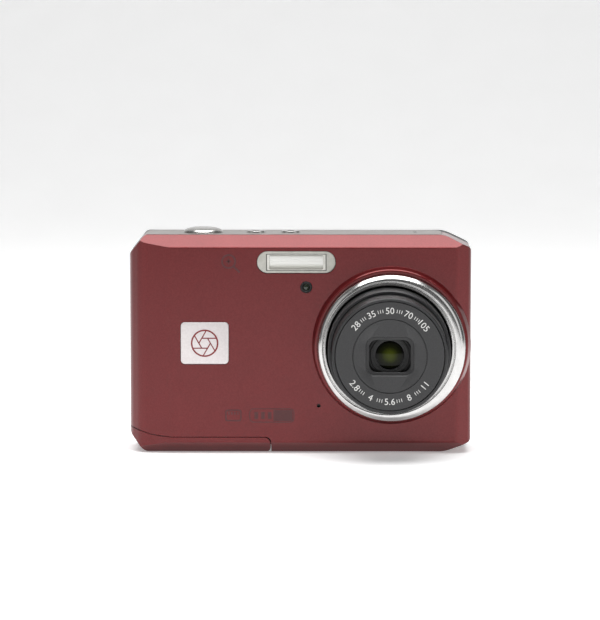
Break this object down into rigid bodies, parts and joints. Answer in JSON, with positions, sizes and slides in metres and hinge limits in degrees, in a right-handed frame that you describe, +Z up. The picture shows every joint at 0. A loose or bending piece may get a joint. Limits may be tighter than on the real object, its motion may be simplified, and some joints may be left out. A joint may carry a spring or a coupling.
{
  "type": "compact digital camera",
  "caption": "Compact digital camera with an extending zoom lens, sliding and hinged battery door, top and rear controls, and a tripod socket.",
  "frame": {"origin": "on the flat base, in the middle of the body's width and depth", "axes": "+Z up, the lens faces -Y, +X to the lens side of the body"},
  "size_m": [0.0922, 0.0459, 0.0606],
  "materials": {
    "red_casing": "dark metallic red paint on pressed aluminium",
    "red_door": "dark metallic red paint on moulded plastic",
    "black_casing": "fine satin texture",
    "grey_top": "satin silver paint",
    "chrome_ring": "polished",
    "badge_metal": "satin",
    "clear_window": "ribbed clear plastic",
    "reflector_metal": "vapour coated",
    "tube_glass": "clear",
    "capacitor_sleeve": "shrink sleeve",
    "motor_steel": "pressed steel",
    "black_plastic": "moulded",
    "gear_plastic": "moulded acetal",
    "barrel_black": "satin dark grey",
    "lens_glass": "coated",
    "sensor_glass": "cover glass",
    "lamp_plastic": "smoked lens",
    "cell_wrap": "printed wrap with no lettering",
    "card_plastic": "moulded",
    "silver_button": "silver plated plastic",
    "rear_button": "satin",
    "switch_steel": "domes",
    "cover_rubber": "soft moulded flap",
    "screw_steel": "blackened",
    "screen_window": "clear acrylic over a dark panel",
    "screen_panel": "panel",
    "board_green": "solder mask"
  },
  "bodies": {
    "root": {"badge": "badge_metal", "battery_1": "cell_wrap", "battery_2": "cell_wrap", "battery_box": "black_plastic", "battery_contacts": "motor_steel", "card_slot": "motor_steel", "chassis": "motor_steel", "dome_switches": "switch_steel", "flash_capacitor": "capacitor_sleeve", "flash_reflector": "reflector_metal", "flash_tube": "tube_glass", "flash_window": "clear_window", "front_shell": "red_casing", "image_sensor": "sensor_glass", "lens_housing": "black_plastic", "lens_trim_ring": "chrome_ring", "main_board": "board_green", "memory_card": "card_plastic", "microphone": "black_plastic", "rear_button_board": "board_green", "rear_shell": "black_casing", "screen_module": "screen_panel", "screen_window": "screen_window", "screws": "screw_steel", "self_timer_lamp": "lamp_plastic", "sensor_plate": "motor_steel", "speaker": "black_plastic", "strap_lug": "motor_steel", "top_button_board": "board_green", "top_plate": "grey_top", "tripod_socket": "motor_steel", "usb_port": "motor_steel", "zoom_motor": "motor_steel"},
    "outer_barrel": {"outer_barrel": "barrel_black"},
    "inner_barrel": {"inner_barrel": "barrel_black", "barrel_front_plate": "barrel_black", "front_element": "lens_glass", "front_lens_cell": "black_plastic", "shutter_unit": "black_plastic"},
    "upper_blade": {"barrier_blade_upper": "barrel_black"},
    "lower_blade": {"barrier_blade_lower": "barrel_black"},
    "cam_ring": {"cam_ring": "black_plastic"},
    "idler_gear": {"idler_gear": "gear_plastic"},
    "motor_pinion": {"motor_pinion": "gear_plastic"},
    "focus_lens": {"focus_lens": "black_plastic"},
    "door_carrier": {"door_hinge_carrier": "black_plastic", "door_hinge_pin": "motor_steel"},
    "battery_door": {"battery_door": "red_door", "door_contact_strip": "motor_steel"},
    "usb_cover": {"usb_cover": "cover_rubber"},
    "shutter_button": {"shutter_button": "silver_button"},
    "power_button": {"power_button": "silver_button"},
    "mode_button": {"mode_button": "silver_button"},
    "play_button": {"play_button": "rear_button"},
    "scene_button": {"scene_button": "rear_button"},
    "menu_button": {"menu_button": "rear_button"},
    "delete_button": {"delete_button": "rear_button"},
    "set_button": {"set_button": "rear_button"},
    "four_way_pad": {"four_way_pad": "rear_button"},
    "zoom_rocker": {"zoom_rocker": "rear_button"}
  },
  "joints": [
    {"name": "barrel_slide", "type": "slide", "parent": "root", "child": "outer_barrel", "axis": [0, 1, 0], "range_m": [0, 0.008]},
    {"name": "inner_barrel_slide", "type": "slide", "parent": "outer_barrel", "child": "inner_barrel", "axis": [0, 1, 0], "range_m": [0, 0.01]},
    {"name": "cam_ring_spin", "type": "hinge", "parent": "root", "child": "cam_ring", "pos_m": [0.0239, 0, 0.02915], "axis": [0, 1, 0], "range_deg": [0, 36]},
    {"name": "idler_spin", "type": "hinge", "parent": "root", "child": "idler_gear", "pos_m": [0.00588, 0, 0.01653], "axis": [0, 1, 0], "range_deg": [-162, 0]},
    {"name": "pinion_spin", "type": "hinge", "parent": "root", "child": "motor_pinion", "pos_m": [-0.00012, 0, 0.01653], "axis": [0, 1, 0], "range_deg": [0, 324]},
    {"name": "upper_blade_swing", "type": "hinge", "parent": "inner_barrel", "child": "upper_blade", "pos_m": [0.0365, -0.0323, 0.02615], "axis": [0, -1, 0], "range_deg": [0, 33]},
    {"name": "lower_blade_swing", "type": "hinge", "parent": "inner_barrel", "child": "lower_blade", "pos_m": [0.0113, -0.0323, 0.03215], "axis": [0, -1, 0], "range_deg": [0, 33]},
    {"name": "focus_slide", "type": "slide", "parent": "root", "child": "focus_lens", "axis": [0, 1, 0], "range_m": [-0.001, 0.0008]},
    {"name": "door_slide", "type": "slide", "parent": "root", "child": "door_carrier", "axis": [-1, 0, 0], "range_m": [0, 0.003]},
    {"name": "door_hinge", "type": "hinge", "parent": "door_carrier", "child": "battery_door", "pos_m": [-0.0091, 0, 0.001], "axis": [0, -1, 0], "range_deg": [0, 85]},
    {"name": "usb_cover_hinge", "type": "hinge", "parent": "root", "child": "usb_cover", "pos_m": [0.04605, 0.00575, 0.0105], "axis": [0, 0, 1], "range_deg": [0, 100]},
    {"name": "shutter_press", "type": "slide", "parent": "root", "child": "shutter_button", "axis": [0, 0, -1], "range_m": [0, 0.0005], "stiffness_N_per_m": 600, "springref_m": -0.0003},
    {"name": "power_press", "type": "slide", "parent": "root", "child": "power_button", "axis": [0, 0, -1], "range_m": [0, 0.0003], "stiffness_N_per_m": 400, "springref_m": -0.0003},
    {"name": "mode_press", "type": "slide", "parent": "root", "child": "mode_button", "axis": [0, 0, -1], "range_m": [0, 0.0003], "stiffness_N_per_m": 400, "springref_m": -0.0003},
    {"name": "play_press", "type": "slide", "parent": "root", "child": "play_button", "axis": [0, -1, 0], "range_m": [0, 0.0003], "stiffness_N_per_m": 400, "springref_m": -0.0003},
    {"name": "scene_press", "type": "slide", "parent": "root", "child": "scene_button", "axis": [0, -1, 0], "range_m": [0, 0.0003], "stiffness_N_per_m": 400, "springref_m": -0.0003},
    {"name": "menu_press", "type": "slide", "parent": "root", "child": "menu_button", "axis": [0, -1, 0], "range_m": [0, 0.0003], "stiffness_N_per_m": 400, "springref_m": -0.0003},
    {"name": "delete_press", "type": "slide", "parent": "root", "child": "delete_button", "axis": [0, -1, 0], "range_m": [0, 0.0003], "stiffness_N_per_m": 400, "springref_m": -0.0003},
    {"name": "set_press", "type": "slide", "parent": "root", "child": "set_button", "axis": [0, -1, 0], "range_m": [0, 0.0003], "stiffness_N_per_m": 400, "springref_m": -0.0003},
    {"name": "pad_tilt", "type": "hinge", "parent": "root", "child": "four_way_pad", "pos_m": [-0.0306, 0.0109, 0.0257], "axis": [1, 0, 0], "range_deg": [-2, 2], "stiffness_Nm_per_rad": 0.05},
    {"name": "zoom_tilt", "type": "hinge", "parent": "root", "child": "zoom_rocker", "pos_m": [-0.0338, 0.0109, 0.0477], "axis": [0, 0, 1], "range_deg": [-2, 2], "stiffness_Nm_per_rad": 0.05}
  ],
  "couplings": [
    {"joint": "inner_barrel_slide", "follows": "barrel_slide", "ratio": 1.25},
    {"joint": "cam_ring_spin", "follows": "barrel_slide", "rad_per_m": 78.54},
    {"joint": "idler_spin", "follows": "barrel_slide", "rad_per_m": -353.43},
    {"joint": "pinion_spin", "follows": "barrel_slide", "rad_per_m": 706.86},
    {"joint": "upper_blade_swing", "follows": "barrel_slide", "rad_per_m": 71.995},
    {"joint": "lower_blade_swing", "follows": "barrel_slide", "rad_per_m": 71.995}
  ]
}
